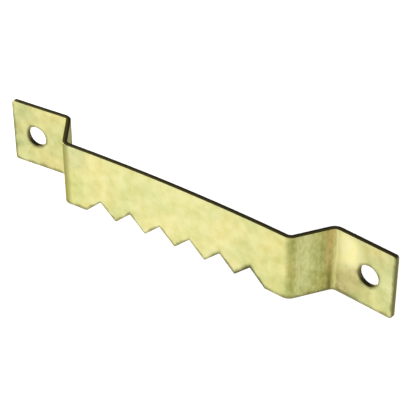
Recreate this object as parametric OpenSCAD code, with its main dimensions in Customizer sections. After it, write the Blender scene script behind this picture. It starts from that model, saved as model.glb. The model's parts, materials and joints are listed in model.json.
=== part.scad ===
// Sawtooth picture hanger, pressed from one strip of plated steel. A bar with a notched lower edge
// stands off the back of a picture frame on two sloping legs, and an ear at each end takes a screw.
//
// X runs along the strip, +Z is up and +Y points at the frame. The origin lies on the back of the
// frame, midway between the two ears and halfway up the strip.

/* [Strip] */
// Width of the strip, from its top edge to the tips of the teeth
strip_width = 10; // [8:0.5:16]
// Thickness of the sheet
sheet_thickness = 0.7; // [0.4:0.05:1.2]
// Radius on the inside of every bend
bend_radius = 0.8; // [0.3:0.1:1.5]

/* [Bar] */
// Straight distance between the bends at the two ends of the bar
bar_length = 36; // [20:0.5:80]
// Clear gap between the frame and the middle of the bar
bar_gap = 4.75; // [3:0.05:10]
// Depth of the slight bow that brings the middle of the bar back towards the frame
bar_bow = 0.54; // [0.1:0.02:2]
// Slope of each leg from the line of the frame
leg_angle = 56; // [40:1:85]

/* [Teeth] */
// Spacing of the notches along the bar
notch_pitch = 5.05; // [3:0.05:8]
// Depth of the notches, taken between sharp roots and sharp tips
notch_depth = 2.3; // [1:0.1:4]
// Radius at the root of a notch
root_radius = 0.15; // [0.05:0.05:0.4]
// Radius on the tip of a tooth
tip_radius = 0.2; // [0.05:0.05:0.4]
// Least plain edge left between the row of notches and a bend
plain_edge = 2.5; // [1:0.5:6]

/* [Ears] */
// Length of the flat of an ear
ear_length = 9; // [7:0.5:20]
// Angle by which an ear leans forward, away from the frame, until its screw pulls it flat
ear_splay = 5.5; // [0.5:0.5:12]
// Radius of the two free corners of an ear
corner_radius = 0.4; // [0.1:0.1:3]
// Diameter of the screw hole
hole_diameter = 3.2; // [2:0.1:4.5]
// Distance from the free end of an ear to the middle of its hole
hole_inset = 4; // [3:0.1:6]

/* [Hidden] */
$fn = 96;

// Reach of a cutter past the faces that it cuts
cut_margin = 1;
// Radius of a bend at the middle of the sheet
mid_radius = bend_radius + sheet_thickness / 2;
// Slope of the bar at its ends, radius of its bow, and enough sides to keep so wide an arc smooth
bow_angle = 2 * atan(2 * bar_bow / bar_length);
bow_radius = bar_length / (2 * sin(bow_angle));
bow_sides = 1440;
// Middle of the sheet at the middle of the bar
bar_y = -bar_gap - sheet_thickness / 2;
// Flat of a leg that is left between its two bends
bend_rise = mid_radius * (1 + cos(bow_angle) - 2 * cos(leg_angle));
leg_length = (bar_gap + bar_bow - bend_rise) / sin(leg_angle);
// Turn of the bends at the two ends of a leg, positive to the left
bar_turn = leg_angle + bow_angle;
ear_turn = -leg_angle - ear_splay;
// As many notches as the bar has room for
notch_count = floor((bar_length - 2 * plain_edge) / notch_pitch);
// Half the angle between the flanks of a notch, and so of a tooth
flank_angle = atan(notch_pitch / (2 * notch_depth));
// Sides on the small arc of a root or a tip
arc_steps = 6;

// Moves to the end of a bend that starts along +X
module past_bend(turn) {
    centre = [0, sign(turn) * mid_radius];
    translate(centre) rotate(turn) translate(-centre) children();
}

// Places that follow each other along the sheet, from the bar's right-hand end to its ear
module at_bar_end() {
    translate([bar_length / 2, bar_y - bar_bow]) rotate(-bow_angle) children();
}

module at_leg_foot() {
    at_bar_end() past_bend(bar_turn) children();
}

module at_leg_head() {
    at_leg_foot() translate([leg_length, 0]) children();
}

module at_ear() {
    at_leg_head() past_bend(ear_turn) children();
}

// Repeats what is on the right at the left-hand end
module both_ends() {
    children();
    mirror([1, 0, 0]) children();
}

// Plan area ahead of the Y axis, or behind it where the reach is negative
module half_plane(reach) {
    translate([min(reach, 0), -abs(reach)]) square(abs(reach) * [1, 2]);
}

// Full ring of the sheet in plan
module ring_edge(middle_radius) {
    difference() {
        circle(middle_radius + sheet_thickness / 2);
        circle(middle_radius - sheet_thickness / 2);
    }
}

// Edge of the bar in plan: the stretch of a wide ring that lies between the bar's two ends
module bar_edge() {
    intersection() {
        translate([0, bar_y - bow_radius]) ring_edge(bow_radius, $fn = bow_sides);
        at_bar_end() half_plane(-2 * bar_length);
        mirror([1, 0, 0]) at_bar_end() half_plane(-2 * bar_length);
    }
}

// Edge of a bend in plan, starting along +X
module bend_edge(turn) {
    reach = 4 * mid_radius;
    intersection() {
        translate([0, sign(turn) * mid_radius]) ring_edge(mid_radius);
        half_plane(reach);
        past_bend(turn) half_plane(-reach);
    }
}

// Edge of a flat stretch in plan, along +X
module flat_edge(length) {
    translate([0, -sheet_thickness / 2]) square([length, sheet_thickness]);
}

// Overlap inside the sheet that makes two stretches one where they meet
module join() {
    square(sheet_thickness / 2, center = true);
}

// Edge of the whole strip in plan
module strip_edge() {
    bar_edge();
    both_ends() {
        at_bar_end() join();
        at_bar_end() bend_edge(bar_turn);
        at_leg_foot() join();
        at_leg_foot() flat_edge(leg_length);
        at_leg_head() join();
        at_leg_head() bend_edge(ear_turn);
        at_ear() join();
        at_ear() flat_edge(ear_length);
    }
}

// Points of an arc, from one angle to another
function arc(centre, radius, from, to) = [
    for (i = [0 : arc_steps])
        let (angle = from + (to - from) * i / arc_steps) centre + radius * [cos(angle), sin(angle)]
];

// Round root of the notch at x, and round tip of the tooth at x, both tangent to the flanks
function root(x) = arc(
    [x, notch_depth - root_radius / sin(flank_angle)], root_radius, 180 - flank_angle, flank_angle
);
function tip(x) = arc(
    [x, tip_radius / sin(flank_angle)], tip_radius, 180 + flank_angle, 360 - flank_angle
);

// Outline of the row of notches, open at the bottom, with the sharp tips on the X axis
module notch_row() {
    half_row = notch_count * notch_pitch / 2;
    mouth_x = half_row + cut_margin * tan(flank_angle);
    polygon([
        [-mouth_x, -cut_margin],
        for (i = [1 : notch_count]) each [
            each root((i - 0.5) * notch_pitch - half_row),
            if (i < notch_count) each tip(i * notch_pitch - half_row)
        ],
        [mouth_x, -cut_margin]
    ]);
}

// What comes off a square corner at the origin to leave it round
module corner_outline() {
    translate(-corner_radius * [1, 1]) difference() {
        square(corner_radius + cut_margin);
        circle(corner_radius);
    }
}

// Outline of what comes off an ear: its screw hole and its two free corners
module ear_outline() {
    translate([ear_length - hole_inset, 0]) circle(d = hole_diameter);
    for (side = [0, 1]) mirror([0, side]) translate([ear_length, strip_width / 2]) corner_outline();
}

// Stands an outline upright, as a cutter that goes through the sheet and a bow in it
module cut_through(bow = 0) {
    depth = sheet_thickness + 2 * (bow + cut_margin);
    rotate([90, 0, 0]) linear_extrude(depth, center = true) children();
}

module hanger_strip() {
    color("#e6df9b") difference() {
        linear_extrude(strip_width, center = true) strip_edge();
        translate([0, bar_y, -strip_width / 2]) cut_through(bar_bow) notch_row();
        both_ends() at_ear() cut_through() ear_outline();
    }
}

hanger_strip();
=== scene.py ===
import json
import math

import bmesh
import bpy
from mathutils import Matrix, Vector


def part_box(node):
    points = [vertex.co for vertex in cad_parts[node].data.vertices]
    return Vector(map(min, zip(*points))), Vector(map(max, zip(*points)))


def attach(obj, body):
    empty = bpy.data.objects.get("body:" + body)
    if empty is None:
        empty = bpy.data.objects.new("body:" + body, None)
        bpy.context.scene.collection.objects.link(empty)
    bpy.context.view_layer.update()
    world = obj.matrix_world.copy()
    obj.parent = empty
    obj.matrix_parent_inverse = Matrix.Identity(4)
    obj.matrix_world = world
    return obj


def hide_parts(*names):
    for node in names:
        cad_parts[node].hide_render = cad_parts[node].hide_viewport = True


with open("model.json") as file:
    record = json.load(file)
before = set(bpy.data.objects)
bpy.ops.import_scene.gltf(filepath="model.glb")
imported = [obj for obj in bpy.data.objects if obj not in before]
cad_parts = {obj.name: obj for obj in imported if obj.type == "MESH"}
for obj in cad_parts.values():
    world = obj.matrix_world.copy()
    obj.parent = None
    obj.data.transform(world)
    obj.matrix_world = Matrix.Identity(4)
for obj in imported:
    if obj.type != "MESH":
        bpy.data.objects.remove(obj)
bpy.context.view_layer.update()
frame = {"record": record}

NODE = "hanger_strip"
MM = 0.001

# Sizes that the frame gives
low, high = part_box(NODE)
mounts = {mount["name"]: mount for mount in frame["record"]["mounts"]}
hole = mounts["right_screw_hole"]
notch_x = sorted(mount["pos_m"][0] for name, mount in mounts.items() if name.startswith("nail_notch"))
strip_width = high.z - low.z
sheet_thickness = hole["dims"]["length_mm"] * MM
hole_radius = hole["dims"]["r_mm"] * MM
ear_splay = math.asin(-hole["axis"][0])
notch_count = len(notch_x)
notch_pitch = notch_x[1] - notch_x[0]

# The strip's other sizes
BEND_RADIUS = 0.8 * MM
BAR_LENGTH = 36 * MM
BAR_GAP = 4.75 * MM
BAR_BOW = 0.54 * MM
LEG_ANGLE = math.radians(56)
NOTCH_DEPTH = 2.3 * MM
ROOT_RADIUS = 0.15 * MM
TIP_RADIUS = 0.2 * MM
EAR_LENGTH = 9 * MM
CORNER_RADIUS = 0.4 * MM
HOLE_INSET = 4 * MM

# Edges as the press leaves them: drawn over at the front, where the punch goes in, and crisp at the back
FRONT_ROLL = 0.04 * MM
BACK_ROLL = 0.03 * MM
FRONT_ROLL_STEPS = 4
BACK_ROLL_STEPS = 2

# Fineness of the curves: stations in a bend and in one notch of the bowed bar, sides of a hole, and steps
# of a rounded corner
BEND_STEPS = 10
BOW_STEPS = 4
HOLE_SIDES = 64
ARC_STEPS = 6
# Half the width of the square of faces around a hole, in radii of the hole
HOLE_CELL = 1.5
# Faces of the flat blank that meet at a sharper turn than this, in radians, meet at the sheet's edge
SHARP_TURN = 1
# Faces of the flat blank that look less straight to the front or back than this belong to its cut edge
PLATED_FACING = 0.95
# Points nearer to each other than this are at one place
TOUCH = 1e-7

# Lengths along the middle of the sheet, and the turn of each bend
mid_radius = BEND_RADIUS + sheet_thickness / 2
bow_angle = 2 * math.atan(2 * BAR_BOW / BAR_LENGTH)
half_bar = BAR_LENGTH / 2 * bow_angle / math.sin(bow_angle)
bend_rise = mid_radius * (1 + math.cos(bow_angle) - 2 * math.cos(LEG_ANGLE))
leg_length = (BAR_GAP + BAR_BOW - bend_rise) / math.sin(LEG_ANGLE)
bar_turn = LEG_ANGLE + bow_angle
ear_turn = LEG_ANGLE + ear_splay
leg_foot = half_bar + mid_radius * bar_turn
leg_head = leg_foot + leg_length
ear_start = leg_head + mid_radius * ear_turn
half_blank = ear_start + EAR_LENGTH
hole_place = half_blank - HOLE_INSET
half_row = notch_count * notch_pitch / 2


def evenly(start, end, count):
    return [start + (end - start) * i / count for i in range(count + 1)]


def curl(places, turn):
    """Spreads a turn over the stations of a bend, each by the length of sheet around it."""
    length = places[-1] - places[0]
    before = places[:1] + places[:-1]
    after = places[1:] + places[-1:]
    return [(place, turn * (b - a) / 2 / length) for place, a, b in zip(places, before, after)]


def folds():
    """Where the right-hand half of the blank turns, and by how much, from its middle outwards."""
    step = notch_pitch / BOW_STEPS
    along_bar = [i * step for i in range(int(half_bar / step))] + [half_bar]
    bow = curl(along_bar, -bow_angle)
    bar_bend = curl(evenly(half_bar, leg_foot, BEND_STEPS), bar_turn)
    ear_bend = curl(evenly(leg_head, ear_start, BEND_STEPS), -ear_turn)
    return bow + bar_bend + ear_bend


def blank_outline(bm):
    """Flat blank, seen from the front: a strip with a row of notches below and a hole near each end."""
    bottom = -strip_width / 2
    root_z = bottom + NOTCH_DEPTH
    ends = [(half_blank, bottom), (half_blank, -bottom), (-half_blank, -bottom), (-half_blank, bottom)]
    roots = [(notch_pitch * (i + 0.5) - half_row, root_z) for i in range(notch_count)]
    tips = [(notch_pitch * i - half_row, bottom) for i in range(1, notch_count)]
    zigzag = [roots[0]] + [place for pair in zip(tips, roots[1:]) for place in pair]
    outline = [(-half_row, bottom)] + zigzag + [(half_row, bottom)] + ends
    verts = {place: bm.verts.new((place[0], 0, place[1])) for place in outline}
    bm.faces.new(verts.values())
    flank_angle = math.atan(notch_pitch / 2 / NOTCH_DEPTH)
    for places, radius, half_angle in (
        (roots, ROOT_RADIUS, flank_angle),
        (tips, TIP_RADIUS, flank_angle),
        (ends, CORNER_RADIUS, math.pi / 4),
    ):
        bmesh.ops.bevel(
            bm, geom=[verts[place] for place in places], affect="VERTICES",
            offset=radius / math.tan(half_angle), segments=ARC_STEPS, profile=0.5, material=-1,
        )
    bmesh.ops.delete(bm, geom=bm.faces[:], context="FACES_ONLY")
    for side in (-1, 1):
        upright = Matrix.Translation((side * hole_place, 0, 0)) @ Matrix.Rotation(math.pi / 2, 4, "X")
        bmesh.ops.create_circle(bm, segments=HOLE_SIDES, radius=hole_radius, matrix=upright)


def fill_blank(bm, stations, rows):
    """Fills the outline with faces that meet along upright stations and level rows."""
    bmesh.ops.triangle_fill(bm, edges=bm.edges[:], use_beauty=True, normal=(0, -1, 0))
    lines = [(0, place) for place in stations] + [(2, place) for place in rows]
    for axis, place in lines:
        across = Vector((0, 0, 0))
        across[axis] = 1
        everything = bm.verts[:] + bm.edges[:] + bm.faces[:]
        bmesh.ops.bisect_plane(bm, geom=everything, plane_co=across * place, plane_no=across, dist=TOUCH)
    kept = {
        edge for edge in bm.edges for axis, place in lines
        if all(abs(vert.co[axis] - place) < TOUCH for vert in edge.verts)
    }
    spare = [edge for edge in bm.edges if len(edge.link_faces) == 2 and edge not in kept]
    bmesh.ops.dissolve_edges(bm, edges=spare, use_verts=False)
    idle = [vert for vert in bm.verts if not vert.is_boundary and len(vert.link_edges) == 2]
    bmesh.ops.dissolve_verts(bm, verts=idle)


def thicken_blank(bm):
    """Gives the blank its thickness, half to the front and half to the back, and its rolled edges."""
    grown = bmesh.ops.extrude_face_region(bm, geom=bm.faces[:])["geom"]
    back = [item for item in grown if isinstance(item, bmesh.types.BMVert)]
    bmesh.ops.translate(bm, verts=back, vec=(0, sheet_thickness, 0))
    bmesh.ops.translate(bm, verts=bm.verts[:], vec=(0, -sheet_thickness / 2, 0))
    bmesh.ops.recalc_face_normals(bm, faces=bm.faces[:])
    for face_y, width, steps in (
        (-sheet_thickness / 2, FRONT_ROLL, FRONT_ROLL_STEPS),
        (sheet_thickness / 2, BACK_ROLL, BACK_ROLL_STEPS),
    ):
        rim = [
            edge for edge in bm.edges
            if edge.calc_face_angle(0) > SHARP_TURN
            and all(abs(vert.co.y - face_y) < TOUCH for vert in edge.verts)
        ]
        bmesh.ops.bevel(
            bm, geom=rim, affect="EDGES", offset=width, segments=steps, profile=0.5, material=-1,
            clamp_overlap=False,
        )


def bend_blank(bm, turns):
    """Bends both halves from their ends inwards, and keeps each point's place in the flat blank."""
    blank = bm.verts.layers.float_vector.new("blank")
    for vert in bm.verts:
        vert[blank] = vert.co
    for place, turn in reversed(turns):
        for side in (-1, 1):
            past = [v for v in bm.verts if v[blank].x * side > place + TOUCH]
            here = [v for v in bm.verts if abs(v[blank].x * side - place) <= TOUCH]
            half_turn = Matrix.Rotation(side * turn / 2, 3, "Z")
            for moved in (past + here, past):
                bmesh.ops.rotate(bm, verts=moved, cent=(side * place, 0, 0), matrix=half_turn)
    bmesh.ops.translate(bm, verts=bm.verts[:], vec=(0, -BAR_GAP - sheet_thickness / 2, 0))


def pressed_strip(plate, cut_edge):
    """The strip as it is made: blanked and pierced, with its edges drawn over, then bent."""
    turns = folds()
    cell = HOLE_CELL * hole_radius
    places = {place for place, turn in turns} | {hole_place - cell, hole_place, hole_place + cell}
    stations = sorted({side * place for place in places for side in (-1, 1)})
    bm = bmesh.new()
    blank_outline(bm)
    fill_blank(bm, stations, (-cell, 0, cell))
    thicken_blank(bm)
    for face in bm.faces:
        face.smooth = True
        face.material_index = int(abs(face.normal.y) < PLATED_FACING)
    bend_blank(bm, turns)
    mesh = bpy.data.meshes.new("pressed_strip")
    bm.to_mesh(mesh)
    bm.free()
    mesh.materials.append(plate)
    mesh.materials.append(cut_edge)
    strip = bpy.data.objects.new("pressed_strip", mesh)
    bpy.context.scene.collection.objects.link(strip)
    shading = strip.modifiers.new("even_shading", "WEIGHTED_NORMAL")
    shading.keep_sharp = True
    return strip


# Sockets of a Mix node for colours, by number, because its sockets for other types have the same names
SHARE, FIRST, SECOND, MIXED = 0, 6, 7, 2


def linear(colour):
    """Linear colour of an sRGB hex value."""
    parts = [int(colour[i:i + 2], 16) / 255 for i in (1, 3, 5)]
    return [p / 12.92 if p <= 0.04045 else ((p + 0.055) / 1.055) ** 2.4 for p in parts] + [1.0]


def add(tree, kind, inputs=None, **settings):
    """Adds a node. Each input is a value, or the output socket that feeds it."""
    node = tree.nodes.new("ShaderNode" + kind)
    for name, value in settings.items():
        setattr(node, name, value)
    for key, value in (inputs or {}).items():
        if isinstance(value, bpy.types.NodeSocket):
            tree.links.new(value, node.inputs[key])
        else:
            node.inputs[key].default_value = value
    return node


def new_material(name):
    material = bpy.data.materials.new(name)
    material.use_nodes = True
    material.node_tree.nodes.clear()
    return material, material.node_tree


def blank_place(tree):
    """A point's place in the flat blank, its three parts, and its distance along from the middle."""
    place = add(tree, "Attribute", attribute_name="blank").outputs["Vector"]
    axes = add(tree, "SeparateXYZ", {"Vector": place}).outputs
    along = add(tree, "Math", {0: axes["X"]}, operation="ABSOLUTE").outputs[0]
    return place, axes, along


def edge_distance(tree, along, up):
    """Distance in the blank from a point to the nearest edge below it, at the end or around a hole."""
    half_pitch = notch_pitch / 2
    slope = NOTCH_DEPTH / half_pitch
    in_row = add(tree, "Math", {0: along, 1: half_row}, operation="LESS_THAN").outputs[0]
    # From the tooth at the middle, the edge rises to a notch and falls to the next tooth in turn
    from_tip = add(tree, "Math", {0: along, 1: half_pitch}, operation="PINGPONG").outputs[0]
    from_tip = add(tree, "Math", {0: from_tip, 1: in_row}, operation="MULTIPLY").outputs[0]
    rise = add(tree, "Math", {0: from_tip, 1: slope}, operation="MULTIPLY").outputs[0]
    lower = add(tree, "Math", {0: up, 1: strip_width / 2}, operation="ADD").outputs[0]
    lower = add(tree, "Math", {0: lower, 1: rise}, operation="SUBTRACT").outputs[0]
    lower = add(tree, "Math", {0: lower, 1: math.cos(math.atan(slope))}, operation="MULTIPLY").outputs[0]
    end = add(tree, "Math", {0: half_blank, 1: along}, operation="SUBTRACT").outputs[0]
    flat = add(tree, "CombineXYZ", {"X": along, "Z": up}).outputs[0]
    rim = add(tree, "VectorMath", {0: flat, 1: (hole_place, 0, 0)}, operation="DISTANCE").outputs["Value"]
    rim = add(tree, "Math", {0: rim, 1: hole_radius}, operation="SUBTRACT").outputs[0]
    nearest = add(tree, "Math", {0: lower, 1: end}, operation="MINIMUM").outputs[0]
    return add(tree, "Math", {0: nearest, 1: rim}, operation="MINIMUM").outputs[0]


def tone_and_shade_along(tree, along):
    """Tone of the plating from the strip's middle to its ends: pale on the bar, deepened by painted shade
    in the bends and on the legs, and lifted by a painted highlight at the end of each ear bend.
    """
    tones = (
        (0, "#e6e3a9"),
        (half_bar - 6 * MM, "#e2dfa5"),
        (half_bar + 0.2 * MM, "#dedb9a"),
        (half_bar + 0.5 * MM, "#cbc986"),
        (half_bar + 0.9 * MM, "#bfbb76"),
        (leg_foot + 0.3 * MM, "#dcdb9e"),
        (leg_foot + 1.7 * MM, "#e4e4a8"),
        ((leg_foot + leg_head) / 2, "#d8d898"),
        (leg_head - 1.1 * MM, "#cbc887"),
        (leg_head - 0.2 * MM, "#c9c17d"),
        (leg_head + 0.3 * MM, "#cfc888"),
        (ear_start - 0.6 * MM, "#d8d294"),
        (ear_start - 0.2 * MM, "#dcd79a"),
        (ear_start + 0.2 * MM, "#dbd69b"),
        (half_blank, "#d6d39b"),
    )
    share = add(tree, "Math", {0: along, 1: half_blank}, operation="DIVIDE").outputs[0]
    ramp = add(tree, "ValToRGB", {"Fac": share})
    stops = ramp.color_ramp.elements
    stops.remove(stops[1])
    stops[0].position = 0
    stops[0].color = linear(tones[0][1])
    for distance, colour in tones[1:]:
        stops.new(distance / half_blank).color = linear(colour)
    return ramp.outputs["Color"]


# Tint of the metal's reflection at a glancing view
GLANCE_TINT = "#e0daa8"
# Values between which most of a noise pattern lies
NOISE_LOW, NOISE_HIGH = 0.34, 0.66
# Width of the band in which a patch's ragged limit wanders, and the share of it that edge lines wander by
WANDER = 3 * MM
RIM_WANDER = 0.25
# Share of a patch's reach that has its full colour
PATCH_CORE = 0.4
# Depth of the drawn grain, and the share of upright distances that it reads, which makes it short streaks
GRAIN_DEPTH = 0.004 * MM
GRAIN_UPRIGHT = 0.45
# Share by which clouds and mottle show on the strained legs
LEG_CLOUDING = 0.6
# Reach of the painted shade along the lower, end and hole edges, and of the darker line along the
# right-hand notches
SHADED_RIM_WIDTH = 0.5 * MM
NOTCH_LINE_WIDTH = 0.8 * MM
# Roughness of the satin plating, of the plating that is rubbed smooth, and of the cut edge
SATIN_LEAST, SATIN_MOST = 0.37, 0.47
RUBBED = 0.3
SHEARED = 0.3


def plating_patterns(tree, place):
    """Patterns of the plating by size, and a distance that wanders, which makes limits ragged."""
    upright = add(tree, "Mapping", {"Vector": place, "Scale": (1, 1, GRAIN_UPRIGHT)}).outputs[0]
    noise = {}
    # The real grain is finer than 0.1 mm, and is drawn coarser so that it shows
    for name, vector, size, detail, roughness in (
        ("clouds", place, 5 * MM, 2.0, 0.5),
        ("mottle", place, 1.6 * MM, 4.0, 0.55),
        ("specks", place, 0.9 * MM, 3.0, 0.5),
        ("grain", upright, 0.4 * MM, 3.0, 0.5),
    ):
        noise[name] = add(
            tree, "TexNoise",
            {"Vector": vector, "Scale": 1 / size, "Detail": detail, "Roughness": roughness},
        ).outputs["Fac"]
    noise["wander"] = add(
        tree, "Math", {0: noise["mottle"], 1: WANDER, 2: -WANDER / 2}, operation="MULTIPLY_ADD"
    ).outputs[0]
    return noise


def plating_masks(tree, axes, along, noise):
    """Masks of the strip's stretches, hollows and edges."""
    up = axes["Z"]
    # Distances from the crease in the hollow of an ear bend, and from the edges
    crease = add(tree, "Math", {0: along, 1: leg_head - 0.1 * MM}, operation="SUBTRACT").outputs[0]
    crease = add(tree, "Math", {0: crease}, operation="ABSOLUTE").outputs[0]
    edge = edge_distance(tree, along, up)
    edge = add(
        tree, "Math", {0: noise["wander"], 1: RIM_WANDER, 2: edge}, operation="MULTIPLY_ADD"
    ).outputs[0]
    masks = {}
    # What each mask reads, the value where it is full, the value where it ends, and its strength
    for name, value, full, none, strength in (
        ("bar", along, half_bar, leg_foot, 1.0),
        ("past_bar", along, leg_foot, half_bar, 1.0),
        ("short_of_ear", along, ear_start - 0.8 * MM, ear_start, 1.0),
        ("ear", along, ear_start + 0.1 * MM, ear_start - 0.5 * MM, 1.0),
        ("short_of_leg", along, leg_foot, leg_foot + 1 * MM, 1.0),
        ("row", along, half_row - 0.3 * MM, half_row + 0.7 * MM, 1.0),
        ("left_end", axes["X"], -half_bar - 0.5 * MM, -half_bar + 0.6 * MM, 0.75),
        ("right_side", axes["X"], 13 * MM, 3 * MM, 1.0),
        ("behind", axes["Y"], 0.2 * sheet_thickness, 0, 0.8),
        ("upper", up, 1 * MM, -3 * MM, 1.0),
        ("lower", up, -strip_width / 2, 1 * MM, 0.8),
        ("hollow", crease, 0.2 * MM, 0.9 * MM, 1.0),
        ("deep_hollow", crease, 0.05 * MM, 0.6 * MM, 1.0),
        ("specks", noise["specks"], 0.65, 0.3, 0.8),
        # Next, painted shade along the lower, end and hole edges, then the reach of the darker line at
        # the right-hand notches
        ("rim", edge, 0.0, SHADED_RIM_WIDTH, 0.85),
        ("wide_rim", edge, 0.0, NOTCH_LINE_WIDTH, 0.92),
    ):
        masks[name] = add(
            tree, "MapRange",
            {"Value": value, "From Min": full, "From Max": none, "To Min": strength, "To Max": 0.0},
            interpolation_type="SMOOTHSTEP",
        ).outputs["Result"]
    # Masks that hold only where all of several others do
    for name, first, *others in (
        ("leg", "past_bar", "short_of_ear"),
        ("bloom", "hollow", "upper", "specks"),
        # Painted shade in the lower crease of each ear bend
        ("painted_shade_crease", "deep_hollow", "lower"),
        # Painted shade on the left-hand bend
        ("painted_shade_left_bend", "left_end", "short_of_leg"),
        # Painted shade on the backs of the legs
        ("painted_shade_leg_back", "behind", "leg"),
        # A darker line along the flanks of the right-hand notches
        ("notch_dark_line", "wide_rim", "right_side", "row"),
    ):
        masks[name] = masks[first]
        for other in others:
            masks[name] = add(
                tree, "Math", {0: masks[name], 1: masks[other]}, operation="MULTIPLY"
            ).outputs[0]
    masks["clouding"] = add(
        tree, "MapRange", {"Value": masks["leg"], "To Min": 1.0, "To Max": LEG_CLOUDING}
    ).outputs["Result"]
    return masks


def toned_and_shaded_patches(tree, colour, place, either_half, wander, masks):
    """Lays patches over a colour, and keeps the mask of each: painted shade on the lower legs and at the
    foot of the right ear bend, a painted highlight where the right ear is rubbed smooth, and darker,
    paler and greener patches.
    """
    # Each patch lies on one half or on either. Then come its middle along and up the strip, its reach,
    # strength and colour, and the stretch that it keeps to
    for name, vector, middle_x, middle_z, reach, strength, shade, stretch in (
        # The rubbed ear is rubbed smooth, and its pale colour is a painted highlight
        ("rubbed_ear_painted_highlight", place, ear_start + 0.4 * MM, 2.5 * MM, 4.4 * MM, 1.0, "#fdf6c2", "ear"),
        # Painted shade on the lower legs
        ("painted_shade_leg", either_half, leg_head, -5 * MM, 5 * MM, 0.55, "#a2a45f", "leg"),
        ("dull_ear", place, ear_start + 2.6 * MM, -2.9 * MM, 3.6 * MM, 0.9, "#b6b885", "ear"),
        # Painted shade at the foot of the right ear bend
        ("painted_shade_ear_heel", place, ear_start - 0.2 * MM, -5.2 * MM, 2.2 * MM, 0.7, "#8f8f5c", "ear"),
        ("bright_end", place, half_blank, 0, 3.2 * MM, 0.6, "#ebebb6", "ear"),
        ("green_corner", place, half_blank - 2.5 * MM, -4 * MM, 4.2 * MM, 0.6, "#cfd698", "ear"),
        ("dull_end", place, -half_blank, 0, 4 * MM, 0.5, "#c6c48e", "ear"),
        ("pale_corner", place, -half_bar + 0.5 * MM, 4 * MM, 4 * MM, 0.45, "#d6d6b0", "bar"),
    ):
        patch = add(
            tree, "VectorMath", {0: vector, 1: (middle_x, 0, middle_z)}, operation="DISTANCE"
        ).outputs["Value"]
        patch = add(tree, "Math", {0: patch, 1: wander}, operation="ADD").outputs[0]
        patch = add(
            tree, "MapRange",
            {
                "Value": patch, "From Min": PATCH_CORE * reach, "From Max": reach,
                "To Min": strength, "To Max": 0.0,
            },
            interpolation_type="SMOOTHSTEP",
        ).outputs["Result"]
        masks[name] = add(tree, "Math", {0: patch, 1: masks[stretch]}, operation="MULTIPLY").outputs[0]
        colour = add(
            tree, "Mix", {SHARE: masks[name], FIRST: colour, SECOND: linear(shade)}, data_type="RGBA"
        ).outputs[MIXED]
    return colour


def clouded(tree, colour, noise, masks):
    """Lays clouds of a few millimetres, a finer mottle and the grain of the legs over a colour."""
    for name, dull, bright, stretch in (
        ("clouds", "#98aeaa", "#d9c8ba", "clouding"),
        ("mottle", "#949496", "#dcdad0", "clouding"),
        ("grain", "#9a9a90", "#d6d6c8", "leg"),
    ):
        spread = add(
            tree, "MapRange", {"Value": noise[name], "From Min": NOISE_LOW, "From Max": NOISE_HIGH}
        ).outputs["Result"]
        tint = add(
            tree, "Mix", {SHARE: spread, FIRST: linear(dull), SECOND: linear(bright)}, data_type="RGBA"
        ).outputs[MIXED]
        colour = add(
            tree, "Mix", {SHARE: masks[stretch], FIRST: colour, SECOND: tint}, data_type="RGBA",
            blend_type="SOFT_LIGHT",
        ).outputs[MIXED]
    return colour


def stained_and_shaded(tree, colour, masks):
    """Lays a brown bloom in the ear bends, painted shade in their lower creases, on the left-hand bend,
    on the backs of the legs and along the lower, end and hole edges, and a darker line along the
    right-hand notches, over a colour.
    """
    for name, shade in (
        ("bloom", "#ecce88"),
        # Then painted shade: in the creases, on the left-hand bend, on the backs of the legs and along
        # the edges; last, a darker line at the right-hand notches
        ("painted_shade_crease", "#767238"),
        ("painted_shade_left_bend", "#7c7a42"),
        ("painted_shade_leg_back", "#6f6e6c"),
        ("rim", "#7f7b52"),
        ("notch_dark_line", "#4c4c28"),
    ):
        colour = add(
            tree, "Mix", {SHARE: masks[name], FIRST: colour, SECOND: linear(shade)}, data_type="RGBA"
        ).outputs[MIXED]
    return colour


def brass_plate():
    """Brass plating, a few thousandths of a millimetre thick, on cold rolled steel, blanked and bent.

    It is satin, so it mirrors the room as a soft glow, and pale because it is thin. Its tone drifts
    between greener and yellower in clouds. The legs have a fine upright grain and are darkened by
    painted shade, and a brown bloom lies in the hollow of each ear bend, with painted shade in its
    lower crease. Painted shade also lies along the lower, end and hole edges, on the backs of the legs
    and on the left-hand bend. It is darker along the right-hand notches, and rubbed smooth on the right
    ear, where a painted highlight pales it.
    """
    material, tree = new_material("brass_plated_steel")
    place, axes, along = blank_place(tree)
    either_half = add(tree, "CombineXYZ", {"X": along, "Z": axes["Z"]}).outputs[0]
    noise = plating_patterns(tree, place)
    masks = plating_masks(tree, axes, along, noise)
    colour = tone_and_shade_along(tree, along)
    colour = toned_and_shaded_patches(tree, colour, place, either_half, noise["wander"], masks)
    colour = clouded(tree, colour, noise, masks)
    colour = stained_and_shaded(tree, colour, masks)
    satin = add(
        tree, "MapRange",
        {
            "Value": noise["mottle"], "From Min": NOISE_LOW, "From Max": NOISE_HIGH,
            "To Min": SATIN_LEAST, "To Max": SATIN_MOST,
        },
    ).outputs["Result"]
    sheen = add(
        tree, "MapRange", {"Value": masks["rubbed_ear_painted_highlight"], "To Min": satin, "To Max": RUBBED}
    ).outputs["Result"]
    relief = add(tree, "Bump", {"Height": noise["grain"], "Distance": GRAIN_DEPTH}).outputs["Normal"]
    shader = add(
        tree, "BsdfPrincipled",
        {
            "Base Color": colour, "Metallic": 1.0, "Roughness": sheen, "Normal": relief,
            "Specular Tint": linear(GLANCE_TINT),
        },
    )
    add(tree, "OutputMaterial", {"Surface": shader.outputs[0]})
    return material


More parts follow.
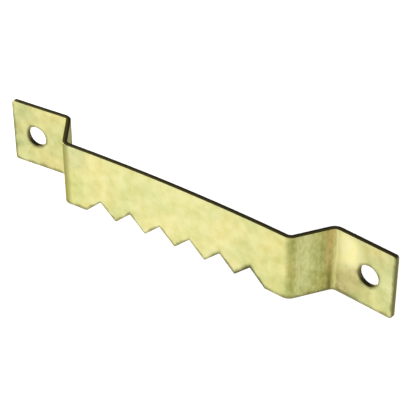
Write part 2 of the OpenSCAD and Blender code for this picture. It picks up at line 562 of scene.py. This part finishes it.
def sheared_edge():
    """Edge of plated strip that a press has sheared.

    The front half is burnished by the punch and the back half is torn, so it is a dark line with a darker
    one behind it, and the two short ends are a little paler.
    """
    material, tree = new_material("sheared_edge")
    axes, along = blank_place(tree)[1:]
    torn = add(
        tree, "MapRange",
        {"Value": axes["Y"], "From Min": -0.1 * sheet_thickness, "From Max": 0.1 * sheet_thickness},
    ).outputs["Result"]
    colour = add(
        tree, "Mix", {SHARE: torn, FIRST: linear("#766f4a"), SECOND: linear("#534e34")}, data_type="RGBA"
    ).outputs[MIXED]
    end = add(
        tree, "MapRange",
        {"Value": along, "From Min": half_blank - CORNER_RADIUS, "From Max": half_blank - 0.1 * MM},
        interpolation_type="SMOOTHSTEP",
    ).outputs["Result"]
    colour = add(
        tree, "Mix", {SHARE: end, FIRST: colour, SECOND: linear("#7c7a57")}, data_type="RGBA"
    ).outputs[MIXED]
    shader = add(
        tree, "BsdfPrincipled",
        {
            "Base Color": colour, "Metallic": 1.0, "Roughness": SHEARED,
            "Specular Tint": linear(GLANCE_TINT),
        },
    )
    add(tree, "OutputMaterial", {"Surface": shader.outputs[0]})
    return material


def white_paper():
    """Matt white card under the strip, which gives it an even bright field to mirror."""
    material, tree = new_material("white_paper")
    shader = add(tree, "BsdfPrincipled", {"Base Color": linear("#fafafa"), "Roughness": 0.9})
    add(tree, "OutputMaterial", {"Surface": shader.outputs[0]})
    return material


strip = pressed_strip(brass_plate(), sheared_edge())
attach(strip, "root")
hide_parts(NODE)

# Floor: well below the strip, which stands on nothing, so that the strip's shadow falls out of view
FLOOR_SIZE = 3.0
FLOOR_DROP = 60 * MM
bm = bmesh.new()
bmesh.ops.create_grid(bm, size=FLOOR_SIZE / 2, matrix=Matrix.Translation((0, 0, low.z - FLOOR_DROP)))
floor_mesh = bpy.data.meshes.new("floor")
bm.to_mesh(floor_mesh)
bm.free()
floor_mesh.materials.append(white_paper())
floor = bpy.data.objects.new("floor", floor_mesh)
bpy.context.scene.collection.objects.link(floor)

# World: pale walls that darken towards the ceiling, which leaves the strip's upper edges dark
WALL_GLOW = 0.8
CEILING_GLOW = 0.12
CEILING_RISE = 0.4
world = bpy.data.worlds.new("studio")
world.use_nodes = True
world.node_tree.nodes.clear()
direction = add(world.node_tree, "TexCoord").outputs["Generated"]
rise = add(world.node_tree, "SeparateXYZ", {"Vector": direction}).outputs["Z"]
glow = add(
    world.node_tree, "MapRange",
    {"Value": rise, "From Max": CEILING_RISE, "To Min": WALL_GLOW, "To Max": CEILING_GLOW},
).outputs["Result"]
backdrop = add(world.node_tree, "Background", {"Color": linear("#ffffff"), "Strength": glow})
add(world.node_tree, "OutputWorld", {"Surface": backdrop.outputs[0]})
bpy.context.scene.world = world

# Lamp: one softbox, high on the left
LAMP_PLACE = Vector((-0.80, 0.10, 0.52))
LAMP_AIM = Vector((-0.04, 0.02, -0.065))
LAMP_SIZE = 0.35
LAMP_WATTS = 16.4
softbox = bpy.data.lights.new("softbox", "AREA")
softbox.size = LAMP_SIZE
softbox.energy = LAMP_WATTS
lamp = bpy.data.objects.new("softbox", softbox)
lamp.location = LAMP_PLACE
lamp.rotation_euler = (LAMP_PLACE - LAMP_AIM).to_track_quat("Z", "Y").to_euler()
bpy.context.scene.collection.objects.link(lamp)

# Camera at the photograph's place
IMAGE_PIXELS = 415
FOCAL_PIXELS = 1584.77
SENSOR_WIDTH = 36
CLIP_START = 0.01
AZIMUTH = math.radians(35.649)
ELEVATION = math.radians(36.059)
ROLL = math.radians(-0.095)
DISTANCE = 217.449 * MM
ASIDE = 1.366 * MM
ABOVE = -1.273 * MM

level = Vector((math.cos(AZIMUTH), math.sin(AZIMUTH), 0))
forward = Vector((math.sin(AZIMUTH), -math.cos(AZIMUTH), 0))
back = forward * math.cos(ELEVATION) + Vector((0, 0, math.sin(ELEVATION)))
turned = Matrix.Rotation(ROLL, 3, back)
right = turned @ level
top = turned @ back.cross(level)
camera_data = bpy.data.cameras.new("camera")
camera_data.sensor_width = SENSOR_WIDTH
camera_data.lens = SENSOR_WIDTH * FOCAL_PIXELS / IMAGE_PIXELS
camera_data.clip_start = CLIP_START
camera = bpy.data.objects.new("camera", camera_data)
bpy.context.scene.collection.objects.link(camera)
facing = Matrix((right, top, back)).transposed().to_4x4()
camera.matrix_world = Matrix.Translation(back * DISTANCE + right * ASIDE + top * ABOVE) @ facing
bpy.context.scene.camera = camera
bpy.context.scene.view_settings.view_transform = "Standard"
